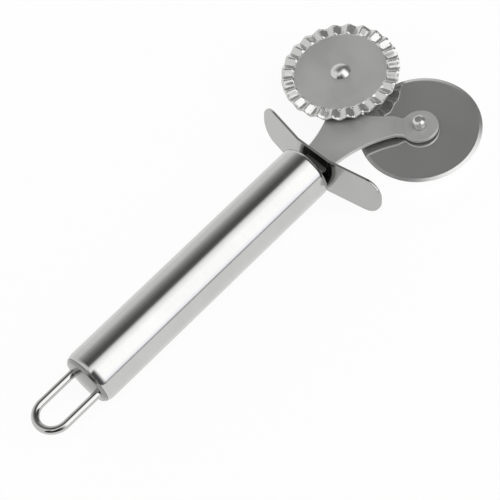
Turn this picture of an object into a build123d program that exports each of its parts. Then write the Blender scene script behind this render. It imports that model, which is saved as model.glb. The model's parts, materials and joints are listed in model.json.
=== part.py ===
from build123d import *
import os
from math import atan2, cos, pi, radians, sin, tan

# Double pastry wheel: a hollow handle with a hanging loop, a finger guard, and a
# Y-shaped fork that carries a plain wheel on its underside and a fluted wheel on
# its top side. Millimetres. The origin is where the handle's axis crosses the axis
# of the loop's round bend. +X runs along the handle to the wheels, +Y to the fluted
# wheel's side, and +Z up, square to the flat fork.

# Hanging loop
wire_radius = 1.5
leg_offset = 6.4            # each leg of the loop from the handle's axis, and the bend's radius
loop_z = -0.5               # the legs lie a little below the axis
loop_length = 16.3          # from the bend's axis to the seam between cap and tube
leg_head_radius = 2.0
leg_head_length = 0.8

# Handle tube
grip_radius = 10.3
grip_length = 104.8
wall = 0.8
rear_shoulder_length = 2.55 # slight turn-in of the tube at the end cap
rear_end_radius = 9.7
mouth_shoulder = 2.0        # rounded end of the tube at the wheels' side
mouth_bore_radius = 7.5
grip_start = loop_length + rear_shoulder_length
grip_end = grip_start + grip_length
mouth_x = grip_end + mouth_shoulder
tube_bore_radius = grip_radius - wall
press_gap = 0.03            # between pieces that are pressed together

# End cap: a low dome that stands a little out of the tube
seam_gap = 0.12
cap_edge_radius = 0.8
cap_edge_x = 15.2           # where the dome meets the rounded edge
cap_dome_height = 0.9
spigot_length = 8.0
cap_cavity_radius = 8.6
cap_end_wall = 2.3
cap_flat_radius = rear_end_radius - cap_edge_radius
cap_end_x = cap_edge_x - cap_dome_height
cap_floor_x = cap_end_x + cap_end_wall

# Fork: one flat plate, with a tang in the handle and two arms. In plan, its
# points are given ahead of the handle's mouth and beside the handle's axis.
plate = 1.5
tang_length = 24.0
tang_width = 10.0
tang_play = 0.06            # in the guard and the plug
shoulder_ahead = 3.6        # the tang widens into the root just past the guard
root_width = 12.8
arm_outer_middle = (19.0, 9.45)
arm_outer_end = (30.2, 16.0)
arm_lap_outer = (33.0, 18.0)
arm_lap_inner = (38.8, 13.9)
crotch_ahead = 28.5
crotch_fillet = 3.0
neck_fillet = 1.5
plain_ahead = 38.48         # the two arms aren't quite of one length
fluted_ahead = 37.75
wheel_aside = 18.72
boss_radius = 6.7           # round end of each arm
jog_height = 1.45           # each round end steps towards its own wheel
jog_run = 3.1
jog_to_centre = 5.6
arm_bearing = 46.5          # degrees from the handle's axis

# Finger guard: an upright plate with both wings swept towards the wheels
guard_ahead = 2.15          # its rear face from the mouth, at the handle's axis
guard_half_height = 7.45
guard_half_length = 30.0    # along the sheet, from the axis to a wing's tip
guard_corner = 6.4
guard_thickness = 1.0
guard_flat_half = 7.65
guard_sweep = 11.1
guard_lean = 11.5           # the top edge leans towards the wheels
guard_askew = -2.0          # the wing at the fluted wheel's side stands a little further ahead
guard_bend_radius = 1.5

# Front plug and its cross pin
plug_length = 16.0
nose_gap = 0.1
tang_pin_radius = 1.5
tang_pin_behind = 9.0
tang_pin_length = 17.0

# Wheels, their rivets and spacers
plain_radius = 22.1
plain_thickness = 0.8
bevel_width = 1.3
bevel_land = 0.1
plain_lean = Rot(2.9, -2.35, 0)     # the plain wheel has play and leans on its rivet
plain_end_play = 0.3
fluted_radius = 21.75
flute_root_radius = 17.1    # the flat middle ends here, between the folds
flute_full_radius = 17.9    # the folds have their whole height from here to the edge
flute_count = 24
flute_rise = 0.7            # of the sheet's middle, each way
flute_turn = 4.65           # degrees from +X to the first upward fold
fluted_thickness = 0.7
fluted_end_play = 0.06
spacer_thickness = 0.2
spacer_radius = 4.0
rivet_radius = 2.25
running_fit = 0.05
rivet_head_radius = 3.8
rivet_head_height = 1.9
tail_stand = 3.65           # of the rivet's tail beyond the arm
tail_chamfer = 0.6
tail_flat_radius = 1.35

plain_axis = (mouth_x + plain_ahead, -wheel_aside)
fluted_axis = (mouth_x + fluted_ahead, wheel_aside)
arm_tail_z = plate / 2 - jog_height             # face of the plain wheel's arm on the tail's side
arm_wheel_z = arm_tail_z - plate                # and on the wheel's side
spacer_z = arm_wheel_z - spacer_thickness / 2
wheel_side_z = arm_wheel_z - spacer_thickness   # face of the spacer that the wheel runs on
plain_centre_z = wheel_side_z - plain_end_play - plain_thickness / 2
fluted_centre_z = -(wheel_side_z - fluted_end_play - fluted_thickness / 2)
through = 40.0              # longer than any hole or cut


def station(x, r):
    """Point of an outline turned about the handle's axis."""
    return (x, 0, r)


def turned(*edges):
    """Solid of revolution of a closed outline about the handle's axis."""
    return revolve(make_face(Curve() + list(edges)), Axis.X, 360)


def quarter_middle(centre_x, centre_r, radius, forward):
    """Middle of a quarter-round corner; forward is 1 towards the wheels, -1 towards the loop."""
    return station(centre_x + forward * radius * cos(pi / 4), centre_r + radius * sin(pi / 4))


def handle_tube():
    lip_radius = grip_radius - mouth_shoulder
    turn_in = (grip_radius - rear_end_radius) / 4   # a parabola's drop at half its run
    rear_middle = station(loop_length + rear_shoulder_length / 2, grip_radius - turn_in)
    outer_middle = quarter_middle(grip_end, lip_radius, mouth_shoulder, 1)
    inner_middle = quarter_middle(grip_end, lip_radius, mouth_shoulder - wall, 1)
    return turned(
        ThreePointArc(station(loop_length, rear_end_radius), rear_middle, station(grip_start, grip_radius)),
        Line(station(grip_start, grip_radius), station(grip_end, grip_radius)),
        ThreePointArc(station(grip_end, grip_radius), outer_middle, station(mouth_x, lip_radius)),
        Polyline(station(mouth_x, lip_radius), station(mouth_x, mouth_bore_radius),
                 station(mouth_x - wall, mouth_bore_radius), station(mouth_x - wall, lip_radius)),
        ThreePointArc(station(mouth_x - wall, lip_radius), inner_middle, station(grip_end, tube_bore_radius)),
        Polyline(station(grip_end, tube_bore_radius), station(loop_length, tube_bore_radius),
                 station(loop_length, rear_end_radius)),
    )


def front_plug():
    """Plug pressed in the tube, flush with its mouth, with a slot for the tang and a pin hole."""
    plug_radius = tube_bore_radius - press_gap
    body = Pos(grip_end, 0, 0) * Rot(0, -90, 0) * extrude(Circle(plug_radius), plug_length)
    nose_radius = mouth_bore_radius - nose_gap
    nose = Pos(grip_end, 0, 0) * Rot(0, 90, 0) * extrude(Circle(nose_radius), mouth_shoulder)
    slot = Pos(mouth_x, 0, 0) * Box(2 * tang_length, tang_width + tang_play, plate + tang_play)
    return body + nose - slot - tang_pin_hole()


def tang_pin_hole():
    return Pos(mouth_x - tang_pin_behind, 0, 0) * Cylinder(tang_pin_radius, through)


def tang_pin():
    """Cross pin that holds the tang in the plug; it ends inside the tube."""
    return Pos(mouth_x - tang_pin_behind, 0, 0) * Cylinder(tang_pin_radius, tang_pin_length)


def end_cap():
    """Cup-shaped cap: a spigot in the tube, a low dome outside and a hole for each leg of the loop."""
    inner_x = loop_length + spigot_length
    flange_x = loop_length - seam_gap
    spigot_radius = tube_bore_radius - press_gap
    dome_middle = station(cap_end_x + cap_dome_height / 4, cap_flat_radius / 2)
    body = turned(
        Polyline(station(cap_floor_x, 0), station(cap_floor_x, cap_cavity_radius),
                 station(inner_x, cap_cavity_radius), station(inner_x, spigot_radius),
                 station(flange_x, spigot_radius), station(flange_x, rear_end_radius),
                 station(cap_edge_x + cap_edge_radius, rear_end_radius)),
        ThreePointArc(station(cap_edge_x + cap_edge_radius, rear_end_radius),
                      quarter_middle(cap_edge_x + cap_edge_radius, cap_flat_radius, cap_edge_radius, -1),
                      station(cap_edge_x, cap_flat_radius)),
        ThreePointArc(station(cap_edge_x, cap_flat_radius), dome_middle, station(cap_end_x, 0)),
        Line(station(cap_end_x, 0), station(cap_floor_x, 0)),
    )
    leg_hole = Rot(0, 90, 0) * Cylinder(wire_radius + press_gap, through)
    return body - [Pos(0, side * leg_offset, loop_z) * leg_hole for side in (-1, 1)]


def hanging_loop():
    """Bent wire whose two legs pass through the cap and are headed over inside it."""
    ends = [(cap_floor_x + leg_head_length, side * leg_offset, loop_z) for side in (1, -1)]
    bends = [(0, side * leg_offset, loop_z) for side in (1, -1)]
    path = Curve() + [
        Line(ends[0], bends[0]),
        ThreePointArc(bends[0], (-leg_offset, 0, loop_z), bends[1]),
        Line(bends[1], ends[1]),
    ]
    section = Plane(origin=ends[0], z_dir=(-1, 0, 0)) * Circle(wire_radius)
    head = Rot(0, -90, 0) * extrude(Circle(leg_head_radius), leg_head_length)
    return sweep(section, path=path) + [Pos(*end) * head for end in ends]


def arm_outline(ahead):
    """Plan of one arm with its round end and half of the tang, on the fluted wheel's side."""
    half_tang = tang_width / 2
    half_root = root_width / 2
    arm = make_face(Curve() + [
        Polyline((-tang_length, 0), (-tang_length, half_tang), (shoulder_ahead, half_tang),
                 (shoulder_ahead, half_root)),
        ThreePointArc((shoulder_ahead, half_root), arm_outer_middle, arm_outer_end),
        Polyline(arm_outer_end, arm_lap_outer, arm_lap_inner, (crotch_ahead, 0), (-tang_length, 0)),
    ])
    arm += Pos(ahead, wheel_aside) * Circle(boss_radius)
    centre = Vector(ahead, wheel_aside, 0)
    necks = [v for v in arm.vertices() if abs((Vector(v.X, v.Y, 0) - centre).length - boss_radius) < 0.01]
    return fillet(necks, neck_fillet)


def fork_outline():
    outline = arm_outline(fluted_ahead) + mirror(arm_outline(plain_ahead), Plane.XZ)
    crotch = outline.vertices().sort_by_distance((crotch_ahead, 0, 0))[0]
    return Pos(mouth_x, 0) * fillet(crotch, crotch_fillet)


def jogged_sheet(side, axis):
    """Half of the fork's sheet, stepped up (side 1) or down (side -1) at the arm's end."""
    far = 3 * plain_ahead
    lower = [(-far, 0), (-jog_to_centre - jog_run, 0), (-jog_to_centre, side * jog_height),
             (far, side * jog_height)]
    upper = [(s, z + plate) for s, z in reversed(lower)]
    profile = Plane.XZ * Pos(0, -plate / 2) * Polygon(*lower, *upper, align=None)
    sheet = Pos(*axis) * Rot(0, 0, side * arm_bearing) * extrude(profile, far, both=True)
    return sheet & Pos(0, side * far, 0) * Box(8 * far, 2 * far, through)


def fork_plate():
    slab = extrude(fork_outline(), 2 * plate, both=True)
    fork = (slab & jogged_sheet(1, fluted_axis)) + (slab & jogged_sheet(-1, plain_axis))
    rivet_hole = Cylinder(rivet_radius, through)
    fork -= [Pos(*axis) * rivet_hole for axis in (plain_axis, fluted_axis)]
    return fork - tang_pin_hole()


def finger_guard():
    """Upright plate with rounded ends, cut from a sheet whose wings sweep forward."""
    tip = guard_half_length + guard_bend_radius
    wing_x = (tip - guard_flat_half) * tan(radians(guard_sweep))
    rear = [(wing_x, -tip), (0, -guard_flat_half), (0, guard_flat_half), (wing_x, tip)]
    front = [(x + guard_thickness, y) for x, y in reversed(rear)]
    plan = Polygon(*rear, *front, align=None)
    bends = [v for v in plan.vertices() if abs(v.Y) < tip - 1]
    sheet = extrude(fillet(bends, guard_bend_radius), guard_half_height, both=True)
    spread = guard_flat_half + (guard_half_length - guard_flat_half) * cos(radians(guard_sweep))
    face = Plane.YZ * RectangleRounded(2 * spread, 2 * guard_half_height, guard_corner)
    sheet &= extrude(face, tip, both=True)
    sheet = Pos(mouth_x + guard_ahead, 0, 0) * Rot(0, 0, guard_askew) * Rot(0, guard_lean, 0) * sheet
    return sheet - Pos(mouth_x, 0, 0) * Box(through, tang_width + tang_play, plate + tang_play)


def plain_wheel():
    """Thin disc, ground to a narrow edge from both faces."""
    half = plain_thickness / 2
    land = bevel_land / 2
    flat_radius = plain_radius - bevel_width
    hole_radius = rivet_radius + running_fit
    outline = Polyline((hole_radius, 0, -half), (flat_radius, 0, -half), (plain_radius, 0, -land),
                       (plain_radius, 0, land), (flat_radius, 0, half), (hole_radius, 0, half), close=True)
    disc = revolve(make_face(outline), Axis.Z, 360)
    return Pos(*plain_axis, plain_centre_z) * plain_lean * disc


def flat(*corners):
    return Face(Wire.make_polygon(corners, close=True))


def fluted_wheel():
    """Sheet disc whose rim is folded into even flutes, alternately up and down."""
    folds = 2 * flute_count
    half = fluted_thickness / 2
    rim_radius = fluted_radius / cos(pi / folds)

    def ring(radius, rise, offset, turn=0.0):
        angles = [2 * pi * (k + turn) / folds for k in range(folds)]
        return [Vector(radius * cos(angle), radius * sin(angle), offset + rise * (-1) ** k)
                for k, angle in enumerate(angles)]

    faces = []
    for offset in (half, -half):
        root = ring(flute_root_radius, 0, offset, turn=0.5)
        start = ring(flute_full_radius, flute_rise, offset)
        edge = ring(rim_radius, flute_rise, offset)
        faces.append(flat(*root))
        for k in range(folds):
            n = (k + 1) % folds
            faces.append(flat(root[k - 1], start[k], root[k]))
            faces.append(flat(root[k], start[k], edge[k]))
            faces.append(flat(root[k], edge[k], edge[n]))
            faces.append(flat(root[k], edge[n], start[n]))
    top, bottom = (ring(rim_radius, flute_rise, offset) for offset in (half, -half))
    for k in range(folds):
        n = (k + 1) % folds
        faces.append(flat(bottom[k], bottom[n], top[n], top[k]))
    disc = Solid(Shell(faces)) & Cylinder(fluted_radius, through)
    disc -= Cylinder(rivet_radius + running_fit, through)
    return Pos(*fluted_axis, fluted_centre_z) * Rot(0, 0, flute_turn) * disc


def rivet(head_z):
    """Rivet with its domed head below head_z and its chamfered tail above the plain wheel's arm."""
    tail_end = arm_tail_z + tail_stand
    dome_end = head_z - rivet_head_height
    dome_radius = (rivet_head_radius ** 2 + rivet_head_height ** 2) / (2 * rivet_head_height)
    half_angle = atan2(rivet_head_radius, dome_radius - rivet_head_height) / 2
    middle = (dome_radius * sin(half_angle), 0, dome_end + dome_radius * (1 - cos(half_angle)))
    outline = Curve() + [
        ThreePointArc((0, 0, dome_end), middle, (rivet_head_radius, 0, head_z)),
        Polyline((rivet_head_radius, 0, head_z), (rivet_radius, 0, head_z),
                 (rivet_radius, 0, tail_end - tail_chamfer), (tail_flat_radius, 0, tail_end),
                 (0, 0, tail_end), (0, 0, dome_end)),
    ]
    return revolve(make_face(outline), Axis.Z, 360)


def plain_wheel_rivet():
    return Pos(*plain_axis) * rivet(wheel_side_z - plain_thickness - 2 * plain_end_play)


def fluted_wheel_rivet():
    """The same rivet turned over, with its domed head above."""
    head_z = wheel_side_z - fluted_thickness - 2 * fluted_end_play
    return Pos(*fluted_axis) * Rot(180, 0, 0) * rivet(head_z)


def spacer(axis, height):
    """Washer between an arm's round end and its wheel."""
    ring = Cylinder(spacer_radius, spacer_thickness) - Cylinder(rivet_radius + running_fit, through)
    return Pos(*axis, height) * ring


sub_parts = {
    "handle_tube": handle_tube(),
    "front_plug": front_plug(),
    "tang_pin": tang_pin(),
    "end_cap": end_cap(),
    "hanging_loop": hanging_loop(),
    "fork_plate": fork_plate(),
    "finger_guard": finger_guard(),
    "plain_wheel": plain_wheel(),
    "plain_wheel_rivet": plain_wheel_rivet(),
    "plain_wheel_spacer": spacer(plain_axis, spacer_z),
    "fluted_wheel": fluted_wheel(),
    "fluted_wheel_rivet": fluted_wheel_rivet(),
    "fluted_wheel_spacer": spacer(fluted_axis, -spacer_z),
}

os.makedirs("parts", exist_ok=True)
for name, shape in sub_parts.items():
    export_step(shape, f"parts/{name}.step")
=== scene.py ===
import json
from math import atan2, cos, hypot, pi, radians, sin, tan

import bmesh
import bpy
from mathutils import Matrix, Vector


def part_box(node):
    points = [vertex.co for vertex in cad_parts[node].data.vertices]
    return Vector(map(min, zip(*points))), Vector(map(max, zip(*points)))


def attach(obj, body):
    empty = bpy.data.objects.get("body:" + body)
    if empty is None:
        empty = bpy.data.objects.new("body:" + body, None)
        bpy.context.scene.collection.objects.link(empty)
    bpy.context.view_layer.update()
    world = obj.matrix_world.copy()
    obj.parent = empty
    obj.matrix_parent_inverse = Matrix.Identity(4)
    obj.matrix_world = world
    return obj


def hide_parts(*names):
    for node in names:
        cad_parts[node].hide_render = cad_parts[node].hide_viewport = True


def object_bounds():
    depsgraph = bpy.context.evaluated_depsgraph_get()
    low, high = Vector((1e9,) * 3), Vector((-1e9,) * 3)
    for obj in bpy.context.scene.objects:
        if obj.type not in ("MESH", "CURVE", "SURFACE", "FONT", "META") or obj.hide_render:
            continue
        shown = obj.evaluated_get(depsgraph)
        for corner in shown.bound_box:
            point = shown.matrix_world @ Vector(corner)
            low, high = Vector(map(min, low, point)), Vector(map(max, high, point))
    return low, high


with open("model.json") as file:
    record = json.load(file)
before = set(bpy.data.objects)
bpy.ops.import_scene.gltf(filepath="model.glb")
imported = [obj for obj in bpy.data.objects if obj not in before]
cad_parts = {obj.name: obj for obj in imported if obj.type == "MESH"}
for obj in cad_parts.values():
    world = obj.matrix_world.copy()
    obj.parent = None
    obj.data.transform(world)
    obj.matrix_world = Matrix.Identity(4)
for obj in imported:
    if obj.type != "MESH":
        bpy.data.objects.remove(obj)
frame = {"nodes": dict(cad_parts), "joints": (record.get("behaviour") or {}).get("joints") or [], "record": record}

# Double pastry wheel. Each CAD node gets a finished mesh with rounded edges, which stands
# for it: turned pieces come from their outlines, the loop is a swept wire, the fluted wheel
# comes from a formula, and the fork, the guard, the plug and its pin are the CAD shapes with
# their edges rounded. Outlines are in millimetres.

cad_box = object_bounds()
record = frame["record"]
body_of = {node: body for body, nodes in record["behaviour"]["bodies"].items() for node in nodes}
slot_of = {sub["node"]: sub["material_slot"] for sub in record["subparts"]}

MM = 0.001

# Camera and floor
CAMERA_TARGET = Vector((88.17, -7.52, 0)) * MM
CAMERA_FORWARD = Vector((0.295302, 0.497512, -0.815646))
CAMERA_UP = Vector((0.662961, 0.508028, 0.549901))
CAMERA_DISTANCE = 693 * MM
CAMERA_LENS = 144
SENSOR_WIDTH = 36
FLOOR_SIZE = 4.0
FLOOR_TONE = 0.12
FLOOR_GLOW = 0.91

# Studio light by direction: degrees from +Z towards -Y, brightness and tint
NEUTRAL = (1, 1, 1)
GREEN = (0.985, 1.0, 0.96)
LILAC = (0.98, 0.98, 1.04)
STUDIO_PEAK = 1.8
STUDIO = [
    (-100, 0.9, GREEN), (-72, 0.9, NEUTRAL), (-59, 0.76, GREEN), (-51, 0.49, NEUTRAL),
    (-43, 0.39, GREEN), (-35, 0.23, NEUTRAL), (-27, 0.16, NEUTRAL), (-19, 0.075, NEUTRAL),
    (-9, 0.07, NEUTRAL), (-3, 0.12, NEUTRAL), (0, 0.5, NEUTRAL), (4, 0.97, NEUTRAL),
    (12.6, 1.44, NEUTRAL), (21, 1.6, NEUTRAL), (29, 1.78, NEUTRAL), (68, 1.78, NEUTRAL),
    (77, 1.65, LILAC), (83, 1.45, LILAC), (85, 1.2, LILAC), (86, 0.4, NEUTRAL),
    (91, 0.4, NEUTRAL), (93, 1.0, NEUTRAL),
]
WALL_BEHIND = (0.9, 0.9, 0.88)
DARK_BEHIND = (0.05, 0.048, 0.055)
DARK_AHEAD = (0.1, 0.1, 0.09)

# Handle
WALL = 0.8
PRESS_GAP = 0.03            # between pieces that are pressed together
MOUTH_SHOULDER = 2.0
MOUTH_BORE_RADIUS = 7.5
REAR_SHOULDER_RADIUS = 5.5
SHOULDER_LENGTH = 1.27      # from the tube's rear end to where its turn-in meets the straight
REAR_END_RADIUS = 9.7
SEAM_GAP = 0.12
CAP_EDGE_RADIUS = 0.8
CAP_DOME_HEIGHT = 0.9
CAP_CAVITY_RADIUS = 8.6
CAP_END_WALL = 2.3
WIRE_RADIUS = 1.5
LOOP_Z = -0.5
LEG_OFFSET = 6.4
LEG_HEAD_RADIUS = 2.0
LEG_HEAD_LENGTH = 0.8

# Wheels and rivets
BEVEL_WIDTH = 1.3
BEVEL_LAND = 0.1
PLAIN_RADIUS = 22.1
PLAIN_THICKNESS = 0.8
HOLE_RADIUS = 2.3
FLUTE_ROOT_RADIUS = 17.1
FLUTE_FULL_RADIUS = 17.9
FOLDS = 48
FLUTE_TURN = 4.65           # degrees from +X to the first upward fold
FLUTE_RISE = 0.7
RIDGE_SOFTNESS = 0.12       # the shape of one fold, as shares of its height
ROOT_SOFTNESS = 0.45
RIDGE_TOP = 0.94
RIDGE_HEIGHT = 0.92
FLUTED_THICKNESS = 0.7
RIVET_RADIUS = 2.25
RIVET_HEAD_RADIUS = 3.8
RIVET_HEAD_HEIGHT = 1.9
TAIL_CHAMFER = 0.6
TAIL_FLAT_RADIUS = 1.35
EDGE = 0.12                 # rounding of a cut edge


def box_mm(node):
    """Lower and upper corner of a CAD node, in millimetres."""
    low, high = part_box(node)
    return low / MM, high / MM


# ---------------------------------------------------------------- mesh tools

def rounded(corners, steps=5):
    """Outline through (along, out, radius) corners, with an arc at each corner that has a radius."""
    points = []
    for k, (a, r, radius) in enumerate(corners):
        here = Vector((a, r))
        if radius == 0 or k in (0, len(corners) - 1) and r == 0:
            points.append((a, r))
            continue
        back = Vector(corners[k - 1][:2]) - here
        ahead = Vector(corners[(k + 1) % len(corners)][:2]) - here
        opening = back.angle(ahead)
        cut = min(radius / tan(opening / 2), 0.9 * back.length, 0.9 * ahead.length)
        start = here + back.normalized() * cut
        end = here + ahead.normalized() * cut
        middle = (back.normalized() + ahead.normalized()).normalized()
        centre = here + middle * cut / cos(opening / 2)
        reach = (start - centre).length
        spread = (start - centre).angle(end - centre)
        side = (end - start).normalized()
        for n in range(steps + 1):
            turn = (n / steps - 0.5) * spread
            points.append(tuple(centre - middle * reach * cos(turn) + side * reach * sin(turn)))
    return points


def bridge(bm, rings, steps):
    """Faces between neighbouring rings of the given number of points; a single point is a tip."""
    for first, second in zip(rings, rings[1:]):
        for n in range(steps):
            corners = [first[n % len(first)], first[(n + 1) % len(first)],
                       second[(n + 1) % len(second)], second[n % len(second)]]
            bm.faces.new(list(dict.fromkeys(corners)))


def lathe(outline, centre, axis, steps=128):
    """Mesh of an outline of (along, out) points turned about an axis through centre."""
    bm = bmesh.new()
    rings = []
    for along, out in outline:
        count = 1 if out < 1e-6 else steps
        ring = []
        for n in range(count):
            angle = 2 * pi * n / steps
            u, v = out * cos(angle), out * sin(angle)
            point = Vector((along, u, v)) if axis == "X" else Vector((u, v, along))
            ring.append(bm.verts.new((point + Vector(centre)) * MM))
        rings.append(ring)
    if outline[0][1] > 1e-6:
        rings.append(rings[0])
    bridge(bm, rings, steps)
    bmesh.ops.recalc_face_normals(bm, faces=bm.faces)
    return bm


def cad_shape(node, edge=EDGE):
    """The CAD shape of a node with its cut edges rounded."""
    bm = bmesh.new()
    bm.from_mesh(frame["nodes"][node].data)
    bmesh.ops.remove_doubles(bm, verts=bm.verts, dist=1e-6)
    bmesh.ops.dissolve_limit(bm, angle_limit=radians(0.6), verts=bm.verts, edges=bm.edges)
    sharp = [e for e in bm.edges if e.calc_face_angle(0) > radians(35)]
    bmesh.ops.bevel(bm, geom=sharp, offset=edge * MM, segments=3, profile=0.5, affect="EDGES",
                    clamp_overlap=False)
    return bm


def piece(node, bm):
    """Object that stands for a CAD node, with its body, slot and look."""
    for face in bm.faces:
        face.smooth = True
    mesh = bpy.data.meshes.new(node + "_shape")
    bm.to_mesh(mesh)
    bm.free()
    obj = bpy.data.objects.new("finished_" + node, mesh)
    bpy.context.scene.collection.objects.link(obj)
    mesh.materials.append(looks.get(node) or looks[slot_of[node]])
    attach(obj, body_of[node])
    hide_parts(node)
    return obj


def weighted(obj):
    """Keeps the flat faces flat in smooth shading."""
    modifier = obj.modifiers.new("flat_faces", "WEIGHTED_NORMAL")
    modifier.mode = "FACE_AREA"
    modifier.weight = 50
    modifier.keep_sharp = True
    return obj


# ---------------------------------------------------------------- handle

def handle_tube():
    """Tube with a turned-in rear end and a rounded mouth."""
    low, high = box_mm("handle_tube")
    rear, mouth, grip = low.x, high.x, high.z
    bore = grip - WALL
    outline = rounded([
        (rear, REAR_END_RADIUS, 0.08), (rear + SHOULDER_LENGTH, grip, REAR_SHOULDER_RADIUS),
        (mouth, grip, MOUTH_SHOULDER), (mouth, MOUTH_BORE_RADIUS, 0.3),
        (mouth - WALL, MOUTH_BORE_RADIUS, 0.3), (mouth - WALL, bore, MOUTH_SHOULDER - WALL),
        (rear, bore, 0.08),
    ], steps=8)
    return weighted(piece("handle_tube", lathe(outline, (0, 0, 0), "X", steps=192)))


def end_cap():
    """Cup with a low dome outside, and a hole with an eased lip for each leg of the loop."""
    low, high = box_mm("end_cap")
    end, inner = low.x, high.x
    flange = box_mm("handle_tube")[0].x - SEAM_GAP
    spigot = box_mm("handle_tube")[1].z - WALL - PRESS_GAP
    floor = end + CAP_END_WALL
    dome_edge = REAR_END_RADIUS - CAP_EDGE_RADIUS
    dome_radius = (dome_edge ** 2 + CAP_DOME_HEIGHT ** 2) / (2 * CAP_DOME_HEIGHT)
    dome = []
    for n in range(1, 13):
        out = dome_edge * (1 - n / 12)
        dome.append((end + dome_radius - (dome_radius ** 2 - out ** 2) ** 0.5, out, 0))
    outline = rounded([
        (floor, 0, 0), (floor, CAP_CAVITY_RADIUS, 0.3),
        (inner, CAP_CAVITY_RADIUS, 0.1), (inner, spigot, 0.1),
        (flange, spigot, 0.05), (flange, REAR_END_RADIUS, 0.05),
        (flange - 0.1, REAR_END_RADIUS - 0.02, 0.05), (end + CAP_DOME_HEIGHT, dome_edge, 0.5),
    ] + dome, steps=6)
    cap = piece("end_cap", lathe(outline, (0, 0, 0), "X", steps=160))
    for side in (-1, 1):
        radius = WIRE_RADIUS + PRESS_GAP
        hole = [(end - 1, 0), (end - 1, radius), (floor + 1, radius), (floor + 1, 0)]
        cut(cap, lathe(hole, (0, side * LEG_OFFSET, LOOP_Z), "X", steps=48))
    bevel = cap.modifiers.new("lips", "BEVEL")
    bevel.width = EDGE * MM
    bevel.segments = 3
    bevel.limit_method = "ANGLE"
    bevel.angle_limit = radians(50)
    bevel.use_clamp_overlap = False
    return weighted(cap)


def cut(obj, tool):
    """Takes the tool mesh away from the object's mesh for good."""
    mesh = bpy.data.meshes.new("tool")
    tool.to_mesh(mesh)
    tool.free()
    cutter = bpy.data.objects.new("tool", mesh)
    bpy.context.scene.collection.objects.link(cutter)
    modifier = obj.modifiers.new("cut", "BOOLEAN")
    modifier.object = cutter
    modifier.operation = "DIFFERENCE"
    modifier.solver = "EXACT"
    bpy.context.view_layer.update()
    result = bpy.data.meshes.new_from_object(obj.evaluated_get(bpy.context.evaluated_depsgraph_get()))
    obj.modifiers.clear()
    old = obj.data
    result.name = old.name
    obj.data = result
    bpy.data.meshes.remove(old)
    bpy.data.objects.remove(cutter)


def hanging_loop():
    """Wire swept along one leg, the round bend and the other leg, with a head at each end."""
    head_end = box_mm("hanging_loop")[1].x
    leg = [(head_end, LEG_HEAD_RADIUS - 0.2), (head_end - 0.2, LEG_HEAD_RADIUS),
           (head_end - LEG_HEAD_LENGTH, LEG_HEAD_RADIUS), (head_end - LEG_HEAD_LENGTH, WIRE_RADIUS)]
    straight = 12
    leg += [((head_end - LEG_HEAD_LENGTH) * (1 - n / straight), WIRE_RADIUS) for n in range(1, straight + 1)]
    around = 64
    stations = [(Vector((x, LEG_OFFSET, 0)), Vector((-1, 0, 0)), r) for x, r in leg]
    for n in range(1, around):
        angle = pi * n / around
        stations.append((Vector((-sin(angle), cos(angle), 0)) * LEG_OFFSET,
                         Vector((-cos(angle), -sin(angle), 0)), WIRE_RADIUS))
    stations += [(Vector((x, -LEG_OFFSET, 0)), Vector((1, 0, 0)), r) for x, r in reversed(leg)]
    sides = 48
    bm = bmesh.new()
    rings = []
    for point, heading, radius in stations:
        across = heading.cross(Vector((0, 0, 1)))
        ring = []
        for n in range(sides):
            angle = 2 * pi * n / sides
            offset = across * cos(angle) * radius + Vector((0, 0, 1)) * sin(angle) * radius
            ring.append(bm.verts.new((point + offset + Vector((0, 0, LOOP_Z))) * MM))
        rings.append(ring)
    bridge(bm, rings, sides)
    for ring in (rings[0], rings[-1]):
        bm.faces.new(ring)
    bmesh.ops.recalc_face_normals(bm, faces=bm.faces)
    return weighted(piece("hanging_loop", bm))


# ---------------------------------------------------------------- wheels

def plain_wheel():
    """Disc ground to a narrow edge, square to its joint's axis. Rings near the hole and the bevel keep the edge
    wear and its painted highlight close to the edge."""
    low, high = box_mm("plain_wheel")
    spin = next(joint for joint in frame["joints"] if joint["child"] == body_of["plain_wheel"])
    half = PLAIN_THICKNESS / 2
    flat = PLAIN_RADIUS - BEVEL_WIDTH
    land = BEVEL_LAND / 2
    inner, outer = HOLE_RADIUS + 0.4, flat - 0.4
    outline = rounded([
        (-half, HOLE_RADIUS, 0.08), (-half, inner, 0), (-half, outer, 0), (-half, flat, 0.5),
        (-land, PLAIN_RADIUS, 0.04), (land, PLAIN_RADIUS, 0.04),
        (half, flat, 0.5), (half, outer, 0), (half, inner, 0), (half, HOLE_RADIUS, 0.08),
    ], steps=4)
    disc = lathe(outline, (0, 0, 0), "Z", steps=256)
    lean = Vector((0, 0, 1)).rotation_difference(Vector(spin["axis"])).to_matrix().to_4x4()
    disc.transform(Matrix.Translation((low + high) / 2 * MM) @ lean)
    return weighted(piece("plain_wheel", disc))


def lesser(a, b, blend):
    """The smaller of two heights, with a soft turn from one to the other."""
    near = max(0, blend - abs(a - b)) / blend
    return min(a, b) - near * near * blend / 4


def flute_height(radius, fold):
    """Height of the sheet's middle; fold counts half flutes round the wheel, even ones up. Each fold
    is a ridge with a soft top, which rises from the flat middle over a short ramp."""
    nearest = round(fold)
    up = 1 if nearest % 2 == 0 else -1
    away = 2 * abs(fold - nearest)
    ridge = 1 + RIDGE_SOFTNESS / 2 - hypot(away, RIDGE_SOFTNESS)
    rise = (radius - FLUTE_ROOT_RADIUS) / (FLUTE_FULL_RADIUS - FLUTE_ROOT_RADIUS)
    rise = -lesser(-rise, 0, 0.3)
    height = lesser(lesser(ridge, rise, ROOT_SOFTNESS), RIDGE_TOP, 0.1)
    return up * FLUTE_RISE * max(0, height) / RIDGE_HEIGHT


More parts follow.
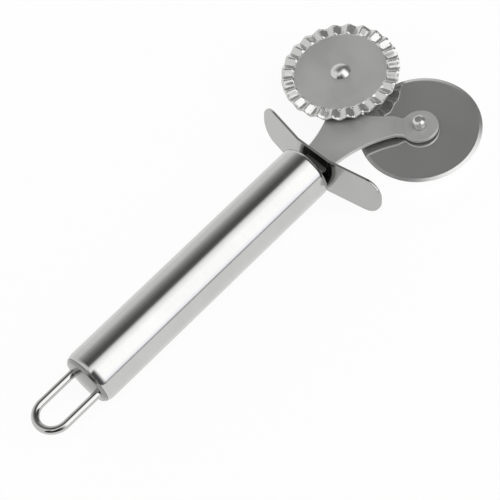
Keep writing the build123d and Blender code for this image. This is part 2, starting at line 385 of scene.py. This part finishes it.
def fluted_wheel():
    """Sheet disc whose rim is folded up and down, with its rings close together through the folds."""
    low, high = box_mm("fluted_wheel")
    centre = (low + high) / 2
    radius = (high.x - low.x) / 2
    steps = [0, 0.06, 0.13, 0.24, 0.37, 0.5, 0.63, 0.76, 0.87, 0.94]
    folds = [k + step for k in range(FOLDS) for step in steps]
    start = FLUTE_ROOT_RADIUS
    run = FLUTE_FULL_RADIUS - start
    radii = [HOLE_RADIUS + 0.08, HOLE_RADIUS + 0.5, 6, 12, 16.5]
    radii += [start + run * n / 10 for n in range(-2, 14)]
    radii += [19.5, 20.4, radius - 0.1]
    half = FLUTED_THICKNESS / 2
    small = 0.01

    def surface(r, fold, side):
        height = flute_height(r, fold)
        along = (flute_height(r + small, fold) - flute_height(r - small, fold)) / (2 * small)
        turn = 2 * pi / FOLDS
        round_ = (flute_height(r, fold + small) - flute_height(r, fold - small)) / (2 * small * turn * r)
        normal = Vector((-along, -round_, 1)).normalized() * side * half
        angle = turn * fold + radians(FLUTE_TURN)
        out, over = r + normal.x, normal.y
        return Vector((out * cos(angle) - over * sin(angle), out * sin(angle) + over * cos(angle),
                       height + normal.z))

    def edge(r, fold):
        angle = 2 * pi * fold / FOLDS + radians(FLUTE_TURN)
        return Vector((r * cos(angle), r * sin(angle), flute_height(r, fold)))

    def ring(place, r, *side):
        return [bm.verts.new((place(r, fold, *side) + centre) * MM) for fold in folds]

    bm = bmesh.new()
    rings = [ring(surface, r, 1) for r in radii]
    rings.append(ring(edge, radius))
    rings += [ring(surface, r, -1) for r in reversed(radii)]
    rings.append(ring(edge, HOLE_RADIUS))
    rings.append(rings[0])
    bridge(bm, rings, len(folds))
    bmesh.ops.recalc_face_normals(bm, faces=bm.faces)
    return weighted(piece("fluted_wheel", bm))


def rivet(node, side):
    """Rivet with its tail on the given side of the fork and its domed head on the other."""
    low, high = box_mm(node)
    centre = (low + high) / 2
    tail, top = (high.z, low.z) if side > 0 else (low.z, high.z)
    head = top + side * RIVET_HEAD_HEIGHT
    dome = (RIVET_HEAD_RADIUS ** 2 + RIVET_HEAD_HEIGHT ** 2) / (2 * RIVET_HEAD_HEIGHT)
    spread = atan2(RIVET_HEAD_RADIUS - 0.1, dome - RIVET_HEAD_HEIGHT)
    steps = 14
    arc = [(top + side * dome * (1 - cos(spread * n / steps)), dome * sin(spread * n / steps), 0)
           for n in range(steps + 1)]
    outline = rounded([
        (tail - side * 0.03, 0, 0), (tail - side * 0.03, 0.8, 0.5), (tail, TAIL_FLAT_RADIUS, 0.1),
        (tail - side * TAIL_CHAMFER, RIVET_RADIUS, 0.15), (head, RIVET_RADIUS, 0.1),
        (head, RIVET_HEAD_RADIUS, 0.1),
    ] + arc[::-1], steps=5)
    return weighted(piece(node, lathe(outline, (centre.x, centre.y, 0), "Z", steps=96)))


def spacer(node):
    """Thin washer with broken edges."""
    low, high = box_mm(node)
    centre = (low + high) / 2
    radius = (high.x - low.x) / 2
    outline = rounded([
        (low.z, HOLE_RADIUS, 0.08), (low.z, radius, 0.08),
        (high.z, radius, 0.08), (high.z, HOLE_RADIUS, 0.08),
    ], steps=4)
    return weighted(piece(node, lathe(outline, (centre.x, centre.y, 0), "Z", steps=96)))


# ---------------------------------------------------------------- looks

def new_material(name):
    material = bpy.data.materials.new(name)
    material.use_nodes = True
    shader = material.node_tree.nodes["Principled BSDF"]
    return material, material.node_tree, shader


def noise(tree, grain, detail=2.0, turn=(0, 0, 0)):
    """Noise of the given grain size in millimetres along X, Y and Z."""
    coords = tree.nodes.new("ShaderNodeTexCoord")
    mapping = tree.nodes.new("ShaderNodeMapping")
    mapping.vector_type = "TEXTURE"
    mapping.inputs["Rotation"].default_value = [radians(degrees) for degrees in turn]
    mapping.inputs["Scale"].default_value = [size * MM for size in grain]
    texture = tree.nodes.new("ShaderNodeTexNoise")
    texture.inputs["Scale"].default_value = 1
    texture.inputs["Detail"].default_value = detail
    tree.links.new(coords.outputs["Object"], mapping.inputs["Vector"])
    tree.links.new(mapping.outputs["Vector"], texture.inputs["Vector"])
    return texture.outputs["Fac"]


def ranged(tree, value, low, high, to_low, to_high):
    """The value carried smoothly from one range to another, and held at its ends."""
    node = tree.nodes.new("ShaderNodeMapRange")
    node.interpolation_type = "SMOOTHSTEP"
    for name, number in zip(("From Min", "From Max", "To Min", "To Max"), (low, high, to_low, to_high)):
        node.inputs[name].default_value = number
    tree.links.new(value, node.inputs["Value"])
    return node.outputs["Result"]


def calc(tree, operation, first, second):
    """Math node of two values or sockets."""
    node = tree.nodes.new("ShaderNodeMath")
    node.operation = operation
    for socket, value in zip(node.inputs, (first, second)):
        if isinstance(value, (int, float)):
            socket.default_value = value
        else:
            tree.links.new(value, socket)
    return node.outputs[0]


def scratches(tree, turn):
    """Thin, sparse scratches: the crossing lines of a stretched noise, kept in patches."""
    lines = noise(tree, (3, 22, 22), detail=0, turn=turn)
    thin = ranged(tree, calc(tree, "ABSOLUTE", calc(tree, "SUBTRACT", lines, 0.5), 0), 0, 0.008, 1, 0)
    patches = ranged(tree, noise(tree, (7, 7, 7), detail=1), 0.5, 0.62, 0, 1)
    return calc(tree, "MULTIPLY", thin, patches)


def beyond(tree, centre, radius):
    """1 beyond a radius (mm) from an upright axis, 0 within it."""
    coords = tree.nodes.new("ShaderNodeTexCoord")
    shift = tree.nodes.new("ShaderNodeMapping")
    shift.inputs["Location"].default_value = (-centre.x * MM, -centre.y * MM, 0)
    tree.links.new(coords.outputs["Object"], shift.inputs["Vector"])
    split = tree.nodes.new("ShaderNodeSeparateXYZ")
    tree.links.new(shift.outputs["Vector"], split.inputs[0])
    x, y, _ = split.outputs
    squares = calc(tree, "ADD", calc(tree, "MULTIPLY", x, x), calc(tree, "MULTIPLY", y, y))
    reach = calc(tree, "SQRT", squares, 0)
    return ranged(tree, reach, (radius - 0.05) * MM, (radius + 0.05) * MM, 0, 1)


def steel(name, colour, roughness, metallic=1.0, brush=(0.3, 0.3, 0.3), depth=0.3, marks=0.4, ground=None,
          painted_underside_shade=False):
    """Stainless steel: brushing of the given grain, cloudy polish, edges worn smoother with a painted highlight
    that lightens their colour, fine scratches.
    Depth is the height of the brushing and marks that of the scratches, in micrometres. Ground gives
    a wheel's centre, the radius beyond which its rim is worked, and how much rougher the rim is.
    The painted underside shade darkens the colour of the faces that look down, standing in for the shade under the
    piece."""
    material, tree, shader = new_material(name)
    links = tree.links
    brushing = noise(tree, brush, detail=3)
    clouds = noise(tree, (14, 14, 14), detail=3)
    fine = calc(tree, "ADD", scratches(tree, (0, 0, 35)), scratches(tree, (20, 40, -60)))
    geometry = tree.nodes.new("ShaderNodeNewGeometry")
    # convex edges: their lower roughness is real wear, and their lighter colour is a painted highlight
    edge_wear_and_highlight = ranged(tree, geometry.outputs["Pointiness"], 0.53, 0.62, 0, 1)

    polish = calc(tree, "MULTIPLY", ranged(tree, clouds, 0.3, 0.7, 0.85, 1.15),
                  ranged(tree, brushing, 0.3, 0.7, 0.88, 1.12))
    polish = calc(tree, "ADD", calc(tree, "MULTIPLY", polish, roughness),
                  calc(tree, "MULTIPLY", fine, 0.15 * marks))
    polish = calc(tree, "MULTIPLY", polish, ranged(tree, edge_wear_and_highlight, 0, 1, 1, 0.7))
    if ground:
        centre, radius, more = ground
        polish = calc(tree, "ADD", polish, calc(tree, "MULTIPLY", beyond(tree, centre, radius), more))
    links.new(polish, shader.inputs["Roughness"])

    tint = tree.nodes.new("ShaderNodeMix")
    tint.data_type = "RGBA"
    tint.inputs["A"].default_value = (*(0.965 * c for c in colour), 1)
    tint.inputs["B"].default_value = (*(min(1, 1.03 * c) for c in colour), 1)
    tone = calc(tree, "ADD", ranged(tree, clouds, 0.35, 0.65, 0, 0.6),
                ranged(tree, brushing, 0.3, 0.7, 0, 0.4))
    links.new(tone, tint.inputs["Factor"])
    # painted highlight: convex edges get a lighter colour, standing in for edge glints
    painted_edge_highlight = tree.nodes.new("ShaderNodeMix")
    painted_edge_highlight.data_type = "RGBA"
    painted_edge_highlight.inputs["B"].default_value = (*(min(1, 1.15 * c) for c in colour), 1)
    links.new(edge_wear_and_highlight, painted_edge_highlight.inputs["Factor"])
    links.new(tint.outputs["Result"], painted_edge_highlight.inputs["A"])
    surface = painted_edge_highlight.outputs["Result"]
    # painted shade: faces that look down get a much darker colour, standing in for the shade under the arms and
    # wheels
    if painted_underside_shade:
        facing = tree.nodes.new("ShaderNodeSeparateXYZ")
        links.new(geometry.outputs["True Normal"], facing.inputs[0])
        underside_shade_mix = tree.nodes.new("ShaderNodeMix")
        underside_shade_mix.data_type = "RGBA"
        underside_shade_mix.inputs["B"].default_value = (*(0.22 * c for c in colour), 1)
        links.new(ranged(tree, facing.outputs["Z"], -0.6, -0.3, 1, 0), underside_shade_mix.inputs["Factor"])
        links.new(surface, underside_shade_mix.inputs["A"])
        surface = underside_shade_mix.outputs["Result"]
    links.new(surface, shader.inputs["Base Color"])
    shader.inputs["Metallic"].default_value = metallic

    relief = tree.nodes.new("ShaderNodeBump")
    relief.inputs["Distance"].default_value = depth * MM * MM
    links.new(brushing, relief.inputs["Height"])
    grooves = tree.nodes.new("ShaderNodeBump")
    grooves.invert = True
    grooves.inputs["Distance"].default_value = marks * MM * MM
    links.new(fine, grooves.inputs["Height"])
    links.new(relief.outputs["Normal"], grooves.inputs["Normal"])
    links.new(grooves.outputs["Normal"], shader.inputs["Normal"])
    return material


def moulded_plastic(name, colour, roughness):
    """Black moulded plastic with a fine even grain and faint flow clouds."""
    material, tree, shader = new_material(name)
    grain = noise(tree, (0.25, 0.25, 0.25), detail=2)
    clouds = noise(tree, (4, 4, 4), detail=2)
    tint = tree.nodes.new("ShaderNodeMix")
    tint.data_type = "RGBA"
    tint.inputs["A"].default_value = (*(0.8 * c for c in colour), 1)
    tint.inputs["B"].default_value = (*(1.3 * c for c in colour), 1)
    tree.links.new(clouds, tint.inputs["Factor"])
    tree.links.new(tint.outputs["Result"], shader.inputs["Base Color"])
    sheen = ranged(tree, grain, 0.3, 0.7, 0.85 * roughness, 1.15 * roughness)
    tree.links.new(sheen, shader.inputs["Roughness"])
    relief = tree.nodes.new("ShaderNodeBump")
    relief.inputs["Distance"].default_value = 3 * MM * MM
    tree.links.new(grain, relief.inputs["Height"])
    tree.links.new(relief.outputs["Normal"], shader.inputs["Normal"])
    return material


# ---------------------------------------------------------------- studio

def make_camera():
    data = bpy.data.cameras.new("camera")
    data.lens = CAMERA_LENS
    data.sensor_width = SENSOR_WIDTH
    camera = bpy.data.objects.new("camera", data)
    bpy.context.scene.collection.objects.link(camera)
    back = -CAMERA_FORWARD.normalized()
    right = CAMERA_UP.cross(back).normalized()
    up = back.cross(right)
    turn = Matrix((right, up, back)).transposed()
    camera.matrix_world = Matrix.Translation(CAMERA_TARGET + back * CAMERA_DISTANCE) @ turn.to_4x4()
    bpy.context.scene.camera = camera


def make_world():
    """Studio round the handle's axis: a soft box towards -Y, a dark card overhead, white walls
    towards +Y and behind, and dark ends behind the soft box and ahead of the wheels."""
    world = bpy.data.worlds.new("studio")
    bpy.context.scene.world = world
    world.use_nodes = True
    tree = world.node_tree
    background = tree.nodes["Background"]
    direction = tree.nodes.new("ShaderNodeTexCoord")
    split = tree.nodes.new("ShaderNodeSeparateXYZ")
    tree.links.new(direction.outputs["Generated"], split.inputs[0])
    x, y, z = split.outputs
    angle = calc(tree, "ARCTAN2", calc(tree, "MULTIPLY", y, -1), z)
    ramp = tree.nodes.new("ShaderNodeValToRGB")
    tree.links.new(calc(tree, "ADD", calc(tree, "DIVIDE", angle, 2 * pi), 0.5), ramp.inputs[0])
    elements = ramp.color_ramp.elements
    elements.remove(elements[1])
    for k, (degrees, value, tint) in enumerate(STUDIO):
        element = elements[0] if k == 0 else elements.new((degrees + 180) / 360)
        element.position = (degrees + 180) / 360
        element.color = (*(value * share / STUDIO_PEAK for share in tint), 1)
    wall = calc(tree, "MULTIPLY", ranged(tree, x, -0.4, -0.15, 1, 0),
                ranged(tree, angle, radians(2), radians(8), 1, 0))
    low = calc(tree, "MULTIPLY", ranged(tree, x, -0.35, 0.22, 1, 0),
               ranged(tree, angle, radians(12), radians(26), 0, 1))
    high = calc(tree, "MULTIPLY", ranged(tree, x, -0.7, -0.45, 1, 0),
                ranged(tree, angle, radians(-5), radians(8), 0, 1))
    ahead = calc(tree, "MULTIPLY", ranged(tree, x, 0.55, 0.75, 0, 1), ranged(tree, y, 0.3, 0.5, 1, 0))
    light = ramp.outputs[0]
    behind = calc(tree, "MAXIMUM", low, high)
    for share, tone in ((wall, WALL_BEHIND), (behind, DARK_BEHIND), (ahead, DARK_AHEAD)):
        shade = tree.nodes.new("ShaderNodeMix")
        shade.data_type = "RGBA"
        shade.inputs["B"].default_value = (*(value / STUDIO_PEAK for value in tone), 1)
        tree.links.new(share, shade.inputs["Factor"])
        tree.links.new(light, shade.inputs["A"])
        light = shade.outputs["Result"]
    tree.links.new(light, background.inputs["Color"])
    background.inputs["Strength"].default_value = STUDIO_PEAK


def make_floor():
    """Pale floor under the tool, bright enough by itself to stay even."""
    size = FLOOR_SIZE / 2
    height = cad_box[0].z
    corners = [(-size, -size, height), (size, -size, height), (size, size, height), (-size, size, height)]
    mesh = bpy.data.meshes.new("floor")
    mesh.from_pydata(corners, [], [(0, 1, 2, 3)])
    floor = bpy.data.objects.new("floor", mesh)
    bpy.context.scene.collection.objects.link(floor)
    material, _, shader = new_material("floor")
    shader.inputs["Base Color"].default_value = (FLOOR_TONE, FLOOR_TONE, FLOOR_TONE, 1)
    shader.inputs["Roughness"].default_value = 0.9
    shader.inputs["Specular IOR Level"].default_value = 0
    shader.inputs["Emission Color"].default_value = (1, 1, 1, 1)
    shader.inputs["Emission Strength"].default_value = FLOOR_GLOW
    mesh.materials.append(material)


bpy.context.scene.view_settings.view_transform = "Standard"
make_camera()
make_world()
make_floor()

wheel_low, wheel_high = box_mm("plain_wheel")
fluted_low, fluted_high = box_mm("fluted_wheel")
looks = {
    "handle_steel": steel("handle_steel", (0.57, 0.57, 0.56), 0.1, 0.92, brush=(0.35, 4, 4), depth=0.5),
    "end_cap": steel("cap_steel", (0.3, 0.3, 0.29), 0.2, 0.97, depth=0.1),
    "plug_plastic": moulded_plastic("plug_plastic", (0.02, 0.02, 0.02), 0.5),
    "wire_steel": steel("wire_steel", (0.54, 0.54, 0.53), 0.05, depth=0.05, marks=0.2),
    "sheet_steel": steel("sheet_steel", (0.66, 0.66, 0.65), 0.5, 0.68, depth=0.2, painted_underside_shade=True),
    "guard_steel": steel("guard_steel", (0.44, 0.44, 0.43), 0.12, depth=0.1),
    "wheel_steel": steel("wheel_steel", (0.84, 0.84, 0.83), 0.07, 0.82, depth=0.03, marks=0.1,
                         ground=((wheel_low + wheel_high) / 2, PLAIN_RADIUS - BEVEL_WIDTH, 0.12)),
    "fluted_wheel": steel("fluted_steel", (0.7, 0.7, 0.69), 0.45, 0.7, depth=0.1,
                          ground=((fluted_low + fluted_high) / 2, FLUTE_ROOT_RADIUS, -0.27), painted_underside_shade=True),
    "rivet_steel": steel("rivet_steel", (0.72, 0.72, 0.71), 0.24, 0.88, depth=0.1, marks=0.2),
}

handle_tube()
end_cap()
hanging_loop()
weighted(piece("front_plug", cad_shape("front_plug")))
weighted(piece("tang_pin", cad_shape("tang_pin")))
weighted(piece("fork_plate", cad_shape("fork_plate", edge=0.3)))
weighted(piece("finger_guard", cad_shape("finger_guard")))
plain_wheel()
fluted_wheel()
rivet("plain_wheel_rivet", 1)
rivet("fluted_wheel_rivet", -1)
spacer("plain_wheel_spacer")
spacer("fluted_wheel_spacer")
